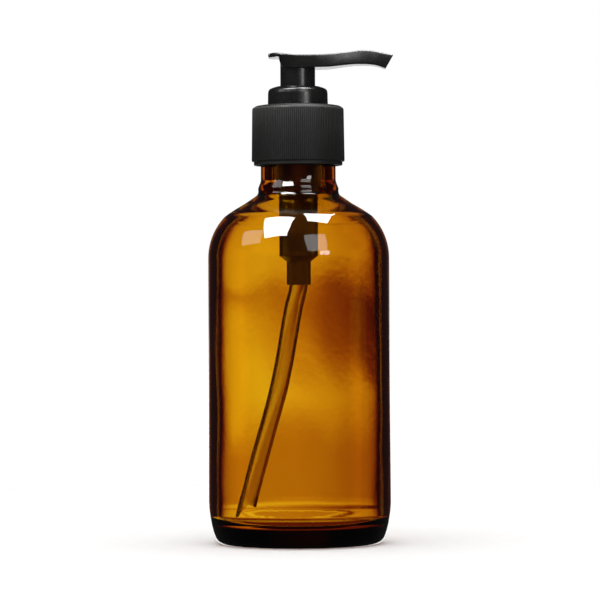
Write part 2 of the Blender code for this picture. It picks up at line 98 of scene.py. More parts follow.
def rounded(corners, radius=0.25):
    """A closed outline with every corner rounded; a corner may give its own radius as a third number."""
    made = []
    for k, corner in enumerate(corners):
        here = Vector(corner[:2])
        before = Vector(corners[k - 1][:2]) - here
        after = Vector(corners[(k + 1) % len(corners)][:2]) - here
        bend = before.angle(after)
        if here.x < ON_AXIS_R or bend > NEARLY_STRAIGHT:
            made.append(tuple(here))
            continue
        wanted = corner[2] if len(corner) > 2 else radius
        reach = min(wanted / tan(bend / 2), LONGEST_SHARE * before.length, LONGEST_SHARE * after.length)
        r = reach * tan(bend / 2)
        first = here + before.normalized() * reach
        last = here + after.normalized() * reach
        middle = here + (before.normalized() + after.normalized()).normalized() * (r / sin(bend / 2))
        steps = max(2, round((pi - bend) / STEP_ANGLE))
        start = atan2(first.y - middle.y, first.x - middle.x)
        turn = (atan2(last.y - middle.y, last.x - middle.x) - start + pi) % tau - pi
        angles = [start + turn * s / steps for s in range(steps + 1)]
        if before.length > reach + 6 * SUPPORT:
            made.append(tuple(first + before.normalized() * SUPPORT))
        made += [(middle.x + r * cos(a), middle.y + r * sin(a)) for a in angles]
        if after.length > reach + 6 * SUPPORT:
            made.append(tuple(last + after.normalized() * SUPPORT))
    return made


# --- meshes ---------------------------------------------------------------------------------


def settle(bm, name):
    """Turns a closed bmesh in millimetres into an object in metres, smooth but for its sharp edges."""
    bmesh.ops.remove_doubles(bm, verts=bm.verts, dist=MERGE_MM)
    bmesh.ops.scale(bm, vec=(MM, MM, MM), verts=bm.verts)
    bmesh.ops.recalc_face_normals(bm, faces=bm.faces)
    mesh = bpy.data.meshes.new(name)
    bm.to_mesh(mesh)
    bm.free()
    mesh.shade_smooth()
    mesh.set_sharp_from_angle(angle=SHARP)
    piece = bpy.data.objects.new(name, mesh)
    bpy.context.scene.collection.objects.link(piece)
    return piece


def join_loops(bm, low, high):
    """Faces between two rings of points, either of which may be a single point."""
    count = max(len(low), len(high))
    for k in range(count):
        after = (k + 1) % count
        corners = [low[k % len(low)], low[after % len(low)], high[after % len(high)], high[k % len(high)]]
        distinct = list(dict.fromkeys(corners))
        if len(distinct) > 2:
            bm.faces.new(distinct)


def turned(name, outline, steps=96, shape=None):
    """A closed outline of (r, z) spun round Z.

    shape(r, z, angle, k), where it is given, moves a point of the outline's kth ring.
    """
    bm = bmesh.new()
    rings = []
    for k, (r, z) in enumerate(outline):
        if r < ON_AXIS_R:
            rings.append([bm.verts.new((0, 0, z))])
            continue
        ring = []
        for s in range(steps):
            a = tau * s / steps
            point_r, point_z = shape(r, z, a, k) if shape else (r, z)
            ring.append(bm.verts.new((point_r * cos(a), point_r * sin(a), point_z)))
        rings.append(ring)
    for low, high in zip(rings, rings[1:] + rings[:1]):
        if len(low) > 1 or len(high) > 1:
            join_loops(bm, low, high)
    return settle(bm, name)


def lofted(name, sections, closed_ends=True):
    """Loops of points joined in order, with a face across each end or the last joined to the first."""
    bm = bmesh.new()
    loops = [[bm.verts.new(point) for point in section] for section in sections]
    for first, second in zip(loops, loops[1:]):
        join_loops(bm, first, second)
    if closed_ends:
        bm.faces.new(loops[0])
        bm.faces.new(loops[-1])
    else:
        join_loops(bm, loops[-1], loops[0])
    return settle(bm, name)


def block(name, size, centre, edge=0.12):
    """A rectangular bar with rounded edges."""
    bm = bmesh.new()
    bmesh.ops.create_cube(bm, size=1.0)
    bmesh.ops.scale(bm, vec=size, verts=bm.verts)
    bmesh.ops.bevel(bm, geom=bm.edges[:], offset=edge, segments=3, affect="EDGES", profile=0.5)
    bmesh.ops.translate(bm, vec=centre, verts=bm.verts)
    return settle(bm, name)


def combine(piece, helper, operation):
    """A boolean, applied at once; the helper is removed."""
    modifier = piece.modifiers.new("joint", "BOOLEAN")
    modifier.operation = operation
    modifier.object = helper
    modifier.solver = "EXACT"
    baked(piece)
    bpy.data.objects.remove(helper, do_unlink=True)
    piece.data.shade_smooth()
    piece.data.set_sharp_from_angle(angle=SHARP)
    return piece


def baked(piece):
    """Replaces the piece's mesh by its evaluated one and removes the modifiers."""
    graph = bpy.context.evaluated_depsgraph_get()
    mesh = bpy.data.meshes.new_from_object(piece.evaluated_get(graph))
    piece.modifiers.clear()
    piece.data = mesh
    return piece


def route_frames(route):
    """Centre, direction along and direction across, for each point of a route in the XZ plane."""
    made = []
    for k, centre in enumerate(route):
        along = (route[min(k + 1, len(route) - 1)] - route[max(k - 1, 0)]).normalized()
        made.append((centre, along, Vector((along.z, 0, -along.x))))
    return made


def loops_along(route, radius, sides, slant=0.0):
    """Round sections square to a route in the XZ plane; the last one is slanted by up to slant."""
    loops = []
    for k, (centre, along, across) in enumerate(route_frames(route)):
        shift = slant if k == len(route) - 1 else 0.0
        loop = []
        for s in range(sides):
            a = tau * s / sides
            point = centre + across * radius * cos(a) + Vector((0, radius * sin(a), 0))
            loop.append(point + along * shift * cos(a))
        loops.append(loop)
    return loops


def smooth(t):
    """0 up to 0, 1 from 1 on, with an eased rise between."""
    t = min(max(t, 0.0), 1.0)
    return t * t * (3 - 2 * t)


RUN_OUT = radians(28)  # over which each end of a thread fades into its wall


def thread_height(angle, z, start_z, turns, base_w, crest_w, height):
    """How far a right-handed thread stands out of its wall at this angle and height."""
    best = 0.0
    for lap in range(ceil(turns)):
        along = angle + tau * lap
        if along > turns * tau:
            continue
        off = abs(z - start_z - PITCH * along / tau)
        flank = smooth((base_w / 2 - off) / ((base_w - crest_w) / 2))
        fade = smooth(min(along, turns * tau - along) / RUN_OUT)
        best = max(best, height * flank * fade)
    return best


# --- node trees -----------------------------------------------------------------------------


def node_tree(name, inputs):
    """A geometry tree with one geometry input and the named inputs given as (name, kind, value)."""
    tree = bpy.data.node_groups.new(name, "GeometryNodeTree")
    tree.interface.new_socket("Geometry", in_out="INPUT", socket_type="NodeSocketGeometry")
    for label, kind, value in inputs:
        socket = tree.interface.new_socket(label, in_out="INPUT", socket_type=f"NodeSocket{kind}")
        socket.default_value = value
    tree.interface.new_socket("Geometry", in_out="OUTPUT", socket_type="NodeSocketGeometry")
    return tree


def add(tree, kind, **links):
    """Adds a node; each link is a socket to join or a value, under the input's name or i and its number."""
    node = tree.nodes.new(kind)
    for label, source in links.items():
        key = int(label[1:]) if label[0] == "i" and label[1:].isdigit() else label.replace("_", " ")
        if isinstance(source, bpy.types.NodeSocket):
            tree.links.new(source, node.inputs[key])
        else:
            node.inputs[key].default_value = source
    return node


def math_node(tree, operation, first, second=0.0):
    """The result of a math node; a rule for one number leaves the second out."""
    node = add(tree, "ShaderNodeMath", i0=first, i1=second)
    node.operation = operation
    return node.outputs[0]


def product(tree, first, second):
    return math_node(tree, "MULTIPLY", first, second)


def grown(piece, tree, values):
    """Runs the tree on the piece, with its inputs set by the sockets' identifiers, and keeps the mesh."""
    modifier = piece.modifiers.new("grown", "NODES")
    modifier.node_group = tree
    for item in tree.interface.items_tree:
        if item.in_out == "INPUT" and item.name in values:
            modifier[item.identifier] = values[item.name]
    return baked(piece)


def path_piece(name, points):
    """A line of edges through points in millimetres, for a tree to grow on."""
    mesh = bpy.data.meshes.new(name)
    edges = [(k, k + 1) for k in range(len(points) - 1)]
    mesh.from_pydata([(x * MM, y * MM, z * MM) for x, y, z in points], edges, [])
    piece = bpy.data.objects.new(name, mesh)
    bpy.context.scene.collection.objects.link(piece)
    return piece


# --- materials ------------------------------------------------------------------------------

MIX_FIRST, MIX_SECOND, MIX_RESULT = 6, 7, 2  # the colour sockets of a Mix node


class Finish:
    """A material on the Principled shader, with helpers for its procedural nodes."""

    def __init__(self, name, **values):
        self.material = bpy.data.materials.new(name)
        self.material.use_nodes = True
        self.nodes = self.material.node_tree.nodes
        self.links = self.material.node_tree.links
        self.shader = self.nodes["Principled BSDF"]
        self.output = self.nodes["Material Output"]
        for socket, value in values.items():
            self.shader.inputs[socket.replace("_", " ")].default_value = value
        self.place = self.nodes.new("ShaderNodeTexCoord").outputs["Object"]

    def noise(self, scale, detail=2.0, stretch=None):
        """Soft random spots on the piece's own coordinates."""
        node = self.nodes.new("ShaderNodeTexNoise")
        node.inputs["Scale"].default_value = scale
        node.inputs["Detail"].default_value = detail
        self.links.new(self.stretched(stretch), node.inputs["Vector"])
        return node.outputs["Fac"]

    def cells(self, scale):
        """How far each point is from the middle of its random cell."""
        node = self.nodes.new("ShaderNodeTexVoronoi")
        node.inputs["Scale"].default_value = scale
        self.links.new(self.place, node.inputs["Vector"])
        return node.outputs["Distance"]

    def stretched(self, stretch):
        """The piece's own coordinates, scaled along each axis where that is asked for."""
        if not stretch:
            return self.place
        node = self.nodes.new("ShaderNodeMapping")
        node.inputs["Scale"].default_value = stretch
        self.links.new(self.place, node.inputs["Vector"])
        return node.outputs["Vector"]

    def between(self, factor, low, high, start=0.3, end=0.7):
        """A number that runs from low to high as the factor goes from start to end."""
        node = self.nodes.new("ShaderNodeMapRange")
        for socket, value in (("From Min", start), ("From Max", end), ("To Min", low), ("To Max", high)):
            node.inputs[socket].default_value = value
        self.links.new(factor, node.inputs["Value"])
        return node.outputs["Result"]

    def blend(self, factor, first, second, start=0.3, end=0.7):
        """A colour that goes from the first to the second as the factor goes from start to end."""
        node = self.nodes.new("ShaderNodeMix")
        node.data_type = "RGBA"
        node.inputs[MIX_FIRST].default_value = (*first, 1)
        node.inputs[MIX_SECOND].default_value = (*second, 1)
        self.links.new(self.between(factor, 0, 1, start, end), node.inputs[0])
        return node.outputs[MIX_RESULT]

    def colour(self, socket):
        self.links.new(socket, self.shader.inputs["Base Color"])
        return self

    def rough(self, socket):
        self.links.new(socket, self.shader.inputs["Roughness"])
        return self

    def bump(self, *layers):
        """Bumps stacked on each other, each given as (height, strength, depth in metres)."""
        normal = None
        for height, strength, depth in layers:
            node = self.nodes.new("ShaderNodeBump")
            node.inputs["Strength"].default_value = strength
            node.inputs["Distance"].default_value = depth
            self.links.new(height, node.inputs["Height"])
            if normal:
                self.links.new(normal, node.inputs["Normal"])
            normal = node.outputs["Normal"]
        self.links.new(normal, self.shader.inputs["Normal"])
        return self

    def absorb(self, colour, density):
        """Light lost inside the material, at the given density for each metre of its way."""
        node = self.nodes.new("ShaderNodeVolumeAbsorption")
        node.inputs["Color"].default_value = (*colour, 1)
        node.inputs["Density"].default_value = density
        self.links.new(node.outputs["Volume"], self.output.inputs["Volume"])
        return self


def amber_glass():
    glass = Finish("amber glass", Roughness=0.0, IOR=1.51, Transmission_Weight=1.0)
    glass.colour(glass.blend(glass.noise(38, 2), (1.0, 0.96, 0.9), (1.0, 1.0, 0.96)))
    ripple = glass.noise(55, 1.5, stretch=(1, 1, 0.45))
    glass.bump((ripple, 0.2, 0.0004), (glass.noise(420, 1), 0.05, 0.0001))
    return glass.absorb((0.906, 0.783, 0.0), 1060).material


def moulded_plastic(name, dark, light, low, high, gloss=0.5):
    """Plastic mottled from dark to light, with a roughness from low to high."""
    plastic = Finish(name, IOR=1.5, Specular_IOR_Level=gloss)
    plastic.colour(plastic.blend(plastic.noise(170, 3), dark, light))
    plastic.rough(plastic.between(plastic.noise(700, 3), low, high))
    plastic.bump((plastic.noise(2600, 2), 0.06, 0.00005), (plastic.noise(90, 1), 0.06, 0.0002))
    return plastic.material


def clear_tube():
    tube = Finish("clear tube", IOR=1.5, Transmission_Weight=1.0)
    tube.colour(tube.blend(tube.noise(140, 2, stretch=(1, 1, 0.15)), (0.8, 0.76, 0.68), (0.86, 0.82, 0.75)))
    tube.rough(tube.between(tube.noise(600, 2), 0.02, 0.05))
    return tube.bump((tube.noise(180, 1, stretch=(1, 1, 0.1)), 0.1, 0.0001)).material


def natural_seal():
    seal = Finish("natural seal", IOR=1.5, Subsurface_Weight=0.3, Subsurface_Scale=0.002)
    seal.colour(seal.blend(seal.noise(240, 3), (0.72, 0.71, 0.66), (0.82, 0.81, 0.77)))
    seal.rough(seal.between(seal.noise(900, 2), 0.35, 0.5))
    return seal.bump((seal.noise(2600, 2), 0.1, 0.00005)).material


def gasket_foam():
    foam = Finish("gasket foam")
    foam.colour(foam.blend(foam.cells(2400), (0.7, 0.7, 0.68), (0.88, 0.88, 0.86), 0.1, 0.6))
    foam.rough(foam.between(foam.noise(1500, 2), 0.75, 0.95))
    return foam.bump((foam.cells(2400), 0.5, 0.0001)).material


def spring_steel():
    steel = Finish("spring steel", Metallic=1.0)
    steel.colour(steel.blend(steel.noise(500, 3), (0.5, 0.5, 0.52), (0.66, 0.66, 0.67)))
    steel.rough(steel.between(steel.noise(1800, 3), 0.16, 0.34))
    return steel.bump((steel.noise(5000, 2), 0.15, 0.00003)).material


BLACK = moulded_plastic("black plastic", (0.0085, 0.008, 0.0078), (0.011, 0.0105, 0.01), 0.22, 0.28)
MATT = moulded_plastic(
    "matt black plastic", (0.0095, 0.0088, 0.0085), (0.0125, 0.0114, 0.0106), 0.46, 0.56, gloss=0.28
)
HOUSING = moulded_plastic("housing plastic", (0.032, 0.021, 0.017), (0.04, 0.028, 0.023), 0.3, 0.4)
GLASS = amber_glass()
TUBE = clear_tube()
SEAL = natural_seal()
FOAM = gasket_foam()
STEEL = spring_steel()


def put(piece, body, material, node=None):
    """Gives a finished piece its material.

    It moves with its body, if one is given, and takes the place of its CAD node.
    """
    piece.data.materials.clear()
    piece.data.materials.append(material)
    if body:
        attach(piece, body)
    if node:
        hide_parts(node)
    return piece


# --- bottle ---------------------------------------------------------------------------------

SHOULDER_CENTRE_R, SHOULDER_Z = 10.1, 95.0  # centre of the shoulder's curve
SHOULDER_R, INNER_SHOULDER_R = 20.0, 17.4
WALL_FOOT_R, WALL_FOOT_Z = 30.5, 14.0
INNER_WALL_R, INNER_WALL_FOOT_Z = 27.85, 14.5
INNER_HEEL_R, GLASS_FLOOR_Z = 4.2, 6.2
NECK_BORE_R = 9.0
RIM_Z, RIM_OUTER_ROUNDING, RIM_INNER_ROUNDING = 141.2, 0.7, 0.6
THREAD_ROOT_R, THREAD_CREST_R = 12.5, 13.6
THREADED_Z = (130.0, 140.45)  # the stretch of the neck that the thread stands on
SEAM_Z = (3.0, 126.0)  # the stretch that the mould's seam runs along
SEAM_HEIGHT, SEAM_SINE = 0.05, 0.012
BROAD_WAVE, FINE_WAVE = 0.12, 0.04  # how unevenly the inside of the glass is blown


def bottle_outside():
    """From the middle of the base up to the top of the rim."""
    base = spline([(0, 1.6), (5, 1.55), (10, 1.4), (16, 1.05), (20.5, 0.5), (22.8, 0.1), (23.8, 0)], 4)
    heel = [(25.6, 0), (26.3, 0.1), (26.9, 0.38), (27.6, 1.0), (28.15, 1.8), (28.65, 3.0), (29.15, 4.6)]
    heel = spline([*heel, (29.6, 6.5), (30.0, 8.8), (30.35, 11.3), (WALL_FOOT_R, WALL_FOOT_Z)], 4)
    wall_top = (SHOULDER_CENTRE_R + SHOULDER_R, SHOULDER_Z)
    wall = straight((WALL_FOOT_R, WALL_FOOT_Z), wall_top, 36)[1:]
    shoulder = arc(SHOULDER_CENTRE_R, SHOULDER_Z, SHOULDER_R, 0, 44, 22)
    foot = [(22.5, 110.3), (20.2, 111.75), (17.8, 113.15), (15.6, 114.65), (14.2, 115.6), (13.6, 116.15)]
    bead = [(13.3, 117.1), (13.35, 118.0), (13.12, 118.8), (12.8, 119.6), (12.5, 120.5), (12.42, 121.4)]
    foot = spline([shoulder[-1], *foot, *bead, (12.4, 125.0)], 4)[1:]
    neck = straight((12.45, 126.4), (THREAD_ROOT_R, 140.4), 100)
    edge = RIM_OUTER_ROUNDING
    rim = arc(THREAD_ROOT_R - edge, RIM_Z - edge, edge, 0, 90, 6)
    return base + heel + wall + shoulder + foot + neck + rim


def bottle_inside():
    """From the top of the rim down to the middle of the floor."""
    lip = arc(NECK_BORE_R + RIM_INNER_ROUNDING, RIM_Z - RIM_INNER_ROUNDING, RIM_INNER_ROUNDING, 90, 180, 5)
    bore = straight((NECK_BORE_R, 140.2), (NECK_BORE_R, 122.6), 4)
    foot = [(NECK_BORE_R, 122.0), (9.02, 120.4), (9.2, 118.8), (9.7, 117.0)]
    foot += [(11.3, 114.7), (14.2, 112.6), (17.2, 110.75)]
    shoulder = arc(SHOULDER_CENTRE_R, SHOULDER_Z, INNER_SHOULDER_R, 50, 0, 24)
    wall_top = (SHOULDER_CENTRE_R + INNER_SHOULDER_R, SHOULDER_Z)
    wall = straight(wall_top, (INNER_WALL_R, INNER_WALL_FOOT_Z), 36)[1:]
    heel = arc(INNER_WALL_R - INNER_HEEL_R, GLASS_FLOOR_Z + INNER_HEEL_R, INNER_HEEL_R, 0, -90, 12)
    floor_line = spline([heel[-1], (17.0, 6.25), (11.0, 6.42), (5.0, 6.55), (0, 6.6)], 4)[1:]
    return lip + bore + spline([*foot, shoulder[0]], 4)[:-1] + shoulder + wall + heel + floor_line


def glass_bottle():
    outside, inside = bottle_outside(), bottle_inside()

    def mould_marks(r, z, angle):
        """The seam and the thread stand out of the outside."""
        if SEAM_Z[0] < z < SEAM_Z[1]:
            r += SEAM_HEIGHT * smooth(1 - abs(sin(angle)) / SEAM_SINE)
        if THREADED_Z[0] < z < THREADED_Z[1]:
            height = THREAD_CREST_R - THREAD_ROOT_R
            r += thread_height(angle, z, THREAD_START_Z, turns=1.5, base_w=2.3, crest_w=0.9, height=height)
        return r, z

    def shape(r, z, angle, k):
        """The inside waves a little, less and less towards the floor and the neck."""
        if k < len(outside):
            return mould_marks(r, z, angle)
        here = Vector((cos(angle), sin(angle), 0))
        share = smooth((z - 7) / 14) * smooth((117 - z) / 12)
        wave = BROAD_WAVE * noise.noise(here * 1.3 + Vector((3.1, 0.4, z / 34)))
        wave += FINE_WAVE * noise.noise(here * 3.2 + Vector((0.2, 5.3, z / 15)))
        return r + share * wave, z

    bottle = turned("glass_bottle", outside + inside, 192, shape)
    put(bottle, "bottle", GLASS, "glass_bottle")


# --- screw cap ------------------------------------------------------------------------------

CAP_BORE_R, CAP_HOLE_R = 13.95, 10.4
CAP_BAND_R = 14.75
CAP_FOOT_R, CAP_TOP_R = 15.3, 15.05
CAP_FOOT_Z, CAP_CEILING_Z = 125.8, 144.1
CAP_RIBS, RIB_R = 144, 0.2


def cap_shell():
    corners = [
        (CAP_BORE_R, CAP_FOOT_Z, 0.15),
        (CAP_BAND_R, CAP_FOOT_Z, 0.25),
        (CAP_BAND_R, 127.0, 0.1),
        (CAP_FOOT_R, 127.3, 0.15),
        (CAP_TOP_R, 144.5, 0.4),
        (14.75, 145.1, 0.3),
        (13.9, 145.6, 0.5),
        (12.4, 145.85, 0.8),
        (CAP_HOLE_R, 145.92, 0.2),
        (CAP_HOLE_R, CAP_CEILING_Z, 0.1),
        (CAP_BORE_R, CAP_CEILING_Z, 0.3),
    ]
    bore = straight((CAP_BORE_R, 143.3), (CAP_BORE_R, 126.6), 90)
    thread_start = THREAD_START_Z - PITCH / 2

    def shape(r, z, angle, k):
        """The thread stands inwards out of the bore."""
        if abs(r - CAP_BORE_R) > MERGE_MM:
            return r, z
        return r - thread_height(angle, z, thread_start, turns=1.25, base_w=1.8, crest_w=0.7, height=1.0), z

    put(turned("cap_shell", rounded(corners) + bore, 192, shape), "cap", MATT, "screw_cap")


def ribs_tree():
    """Copies of one bar, grown along the piece's line of edges, evenly round Z."""
    sizes = [("Count", "Int", 12), ("Bar Radius", "Float", 0.0002), ("Material", "Material", None)]
    tree = node_tree("ribs round an axis", sizes)
    given = tree.nodes.new("NodeGroupInput").outputs
    line = add(tree, "GeometryNodeMeshToCurve", Mesh=given["Geometry"])
    profile = add(tree, "GeometryNodeCurvePrimitiveCircle", Resolution=8, Radius=given["Bar Radius"])
    skin = {"Curve": line.outputs[0], "Profile_Curve": profile.outputs[0], "Fill_Caps": True}
    bar = add(tree, "GeometryNodeCurveToMesh", **skin)
    points = add(tree, "GeometryNodePoints", Count=given["Count"])
    index = tree.nodes.new("GeometryNodeInputIndex")
    angle = math_node(tree, "MULTIPLY", index.outputs[0], math_node(tree, "DIVIDE", tau, given["Count"]))
    turn = add(tree, "ShaderNodeCombineXYZ", Z=angle)
    places = {"Points": points.outputs[0], "Rotation": turn.outputs[0]}
    copies = add(tree, "GeometryNodeInstanceOnPoints", Instance=bar.outputs[0], **places)
    real = add(tree, "GeometryNodeRealizeInstances", Geometry=copies.outputs[0])
    painted = add(tree, "GeometryNodeSetMaterial", Geometry=real.outputs[0], Material=given["Material"])
    tree.links.new(painted.outputs[0], tree.nodes.new("NodeGroupOutput").inputs[0])
    return tree


def cap_ribs():
    line = [(15.1, 0, 127.2), (15.3, 0, 127.5), (15.06, 0, 144.4), (14.84, 0, 144.8), (14.45, 0, 145.05)]
    sizes = {"Count": CAP_RIBS, "Bar Radius": RIB_R * MM, "Material": MATT}
    ribs = grown(path_piece("cap_ribs", line), ribs_tree(), sizes)
    ribs.data.shade_smooth()
    ribs.data.set_sharp_from_angle(angle=FEW_SIDED_SHARP)
    put(ribs, "cap", MATT)


# --- pump housing, its gasket and the collar ---------------------------------------------------

GASKET_BORE_R, GASKET_R = 7.9, 12.5
GASKET_FOOT_Z, GASKET_TOP_Z = 141.5, 142.5
SOCKET_R, SOCKET_BORE_R, SOCKET_FOOT_Z = 4.05, 3.4, 86.0  # it holds the dip tube
BARREL_R, BARREL_BORE_R = 6.4, 5.4  # the narrow lower length, which holds the ball and the spring
SLEEVE_R, SLEEVE_BORE_R = 7.5, 6.5  # the wider upper length, in which the piston slides
FLANGE_R, FLANGE_FOOT_Z, FLANGE_TOP_Z = 12.9, 142.8, 143.8
SNAP_R, SNAP_BEAD_R = 8.3, 8.65  # the collar snaps on here
HOUSING_TOP_Z, MOUTH_R = 149.8, 7.2
CHAMBER_FLOOR_Z, SEAT_FOOT_Z, SEAT_HOLE_R = 96.8, 94.5, 1.6
VENT_R, VENT_Z = 0.6, 134.5
COLLAR_R, COLLAR_FOOT_Z = 10.05, 144.1
COLLAR_BORE_R, COLLAR_GROOVE_R = 8.6, 9.0
WELL_R, WELL_FLOOR_Z = 6.05, 144.6  # the well that the head's skirt sinks into
WELL_OUTER_R, WELL_FOOT_Z = 6.85, 143.4
GUIDE_R, GUIDE_BORE_R, GUIDE_TOP_Z = 4.4, 3.65, 150.0  # the tube that guides the stem


def neck_gasket():
    foot = [(GASKET_BORE_R, GASKET_FOOT_Z), (GASKET_R, GASKET_FOOT_Z)]
    top = [(GASKET_R, GASKET_TOP_Z), (GASKET_BORE_R, GASKET_TOP_Z)]
    put(turned("neck_gasket", rounded(foot + top, 0.2)), "pump", FOAM, "neck_gasket")


def pump_housing():
    outside = [(SOCKET_BORE_R, SOCKET_FOOT_Z, 0.1), (SOCKET_R, SOCKET_FOOT_Z, 0.2), (SOCKET_R, 93.8, 0.4)]
    outside += [(BARREL_R, 95.7, 0.5), (BARREL_R, 113.9, 0.15), (SLEEVE_R, 114.7, 0.25)]
    outside += [(SLEEVE_R, FLANGE_FOOT_Z, 0.5), (FLANGE_R, FLANGE_FOOT_Z, 0.2)]
    outside += [(FLANGE_R, FLANGE_TOP_Z, 0.2), (SNAP_R, FLANGE_TOP_Z, 0.3)]
    snap = [(SNAP_R, 146.5, 0.1), (SNAP_BEAD_R, 146.85, 0.15)]
    snap += [(SNAP_BEAD_R, 147.15, 0.15), (SNAP_R, 147.5, 0.1)]
    mouth = [(SNAP_R, HOUSING_TOP_Z, 0.25), (MOUTH_R, HOUSING_TOP_Z, 0.25), (MOUTH_R, 143.0, 0.2)]
    bore = [(SLEEVE_BORE_R, 142.0, 0.3), (SLEEVE_BORE_R, 115.0, 0.3), (BARREL_BORE_R, 114.2, 0.3)]
    seat = [(BARREL_BORE_R, CHAMBER_FLOOR_Z, 0.4), (3.0, CHAMBER_FLOOR_Z, 0.1), (SEAT_HOLE_R, 95.4, 0.2)]
    seat += [(SEAT_HOLE_R, SEAT_FOOT_Z, 0.1), (SOCKET_BORE_R, SEAT_FOOT_Z, 0.1)]
    housing = turned("pump_housing", rounded(outside + snap + mouth + bore + seat))
    drill = turned("vent_drill", [(0, -2), (VENT_R, -2), (VENT_R, 2), (0, 2)], 24)
    sideways = Vector((0, 0, 1)).rotation_difference(Vector((0, 1, 0))).to_matrix().to_4x4()
    drill.data.transform(sideways)
    drill.data.transform(Matrix.Translation((0, -(SLEEVE_R + SLEEVE_BORE_R) / 2 * MM, VENT_Z * MM)))
    combine(housing, drill, "DIFFERENCE")
    put(housing, "pump", HOUSING, "pump_housing")


def lock_collar():
    outside = [(COLLAR_BORE_R, COLLAR_FOOT_Z, 0.1), (COLLAR_R, COLLAR_FOOT_Z, 0.2), (9.93, 149.9, 0.3)]
    outside += [(9.75, 150.85, 0.4), (9.3, 151.3, 0.5), (8.4, 151.7, 1.0), (7.0, 152.1, 0.5)]
    outside += [(6.4, 152.2, 0.2), (WELL_R, 151.9, 0.15)]
    well = [(WELL_R, WELL_FLOOR_Z, 0.3), (GUIDE_R, WELL_FLOOR_Z, 0.3), (GUIDE_R, GUIDE_TOP_Z, 0.15)]
    well += [(GUIDE_BORE_R, GUIDE_TOP_Z, 0.15), (GUIDE_BORE_R, WELL_FOOT_Z, 0.15)]
    well += [(WELL_OUTER_R, WELL_FOOT_Z, 0.2)]
    under = [(WELL_OUTER_R, 150.2, 0.3), (COLLAR_BORE_R, 150.2, 0.3), (COLLAR_BORE_R, 147.9, 0.1)]
    under += [(COLLAR_GROOVE_R, 147.6, 0.1), (COLLAR_GROOVE_R, 146.4, 0.1), (COLLAR_BORE_R, 146.1, 0.1)]
    put(turned("lock_collar", rounded(outside + well + under), 128), "pump", BLACK, "lock_collar")


# --- plunger, piston, spring, cage and ball ----------------------------------------------------


STEM_R, STEM_BORE_R, STEM_RING_R = 3.3, 2.1, 4.2
STEM_FOOT_Z, STEM_TOP_Z = 119.8, 157.9
SPRING_R, WIRE_R, SPRING_TURNS = 4.3, 0.4, 8.5
SPRING_FOOT_Z, SPRING_TOP_Z = 103.3, 117.0
COIL_POINTS = 324
END_RISE = 2.12  # how many times the wire's radius a closed end turn climbs
CAGE_R, CAGE_BORE_R = 5.1, 2.75
CAGE_FOOT_Z, CAGE_TOP_Z = 97.1, 103.0
BALL_R, BALL_Z = 2.2, 97.34


def stem():
    low = [(STEM_BORE_R, STEM_FOOT_Z), (STEM_R, STEM_FOOT_Z), (STEM_R, 127.9, 0.1), (STEM_RING_R, 127.9)]
    high = [(STEM_RING_R, 128.9), (STEM_R, 128.9, 0.15), (STEM_R, STEM_TOP_Z), (STEM_BORE_R, STEM_TOP_Z)]
    put(turned("stem", rounded(low + high, 0.2)), "plunger", BLACK, "stem")


def piston_rod():
    spigot = [(0, 110.0), (2.0, 110.0, 0.2), (2.6, 110.6, 0.2), (2.6, 117.3, 0.3)]
    flange = [(4.9, 117.3), (4.9, 118.5), (0, 118.5)]
    rod = turned("piston_rod", rounded(spigot + flange, 0.2), 72)
    for size, centre in (((3.5, 0.9, 8.0), (0, 0, 122.0)), ((0.9, 3.5, 7.8), (0, 0, 121.9))):
        combine(rod, block("rod_rib", size, centre), "UNION")
    put(rod, "plunger", HOUSING, "piston_rod")


def piston():
    sleeve = [(3.6, 119.0), (4.4, 119.0), (4.4, 122.2, 0.3)]
    sleeve += [(5.5, 122.2, 0.25), (5.5, 119.5, 0.15), (6.2, 119.5, 0.2)]
    lips = [(6.1, 120.3, 0.3), (5.95, 122.2, 0.5), (5.95, 123.4, 0.5), (6.1, 125.6, 0.3)]
    lips += [(6.2, 126.6, 0.2), (5.5, 126.6, 0.15)]
    top = [(5.5, 123.4, 0.25), (4.4, 123.4, 0.3), (4.4, 126.4), (3.6, 126.4)]
    put(turned("piston", rounded(sleeve + lips + top, 0.2)), "seal", SEAL, "piston")


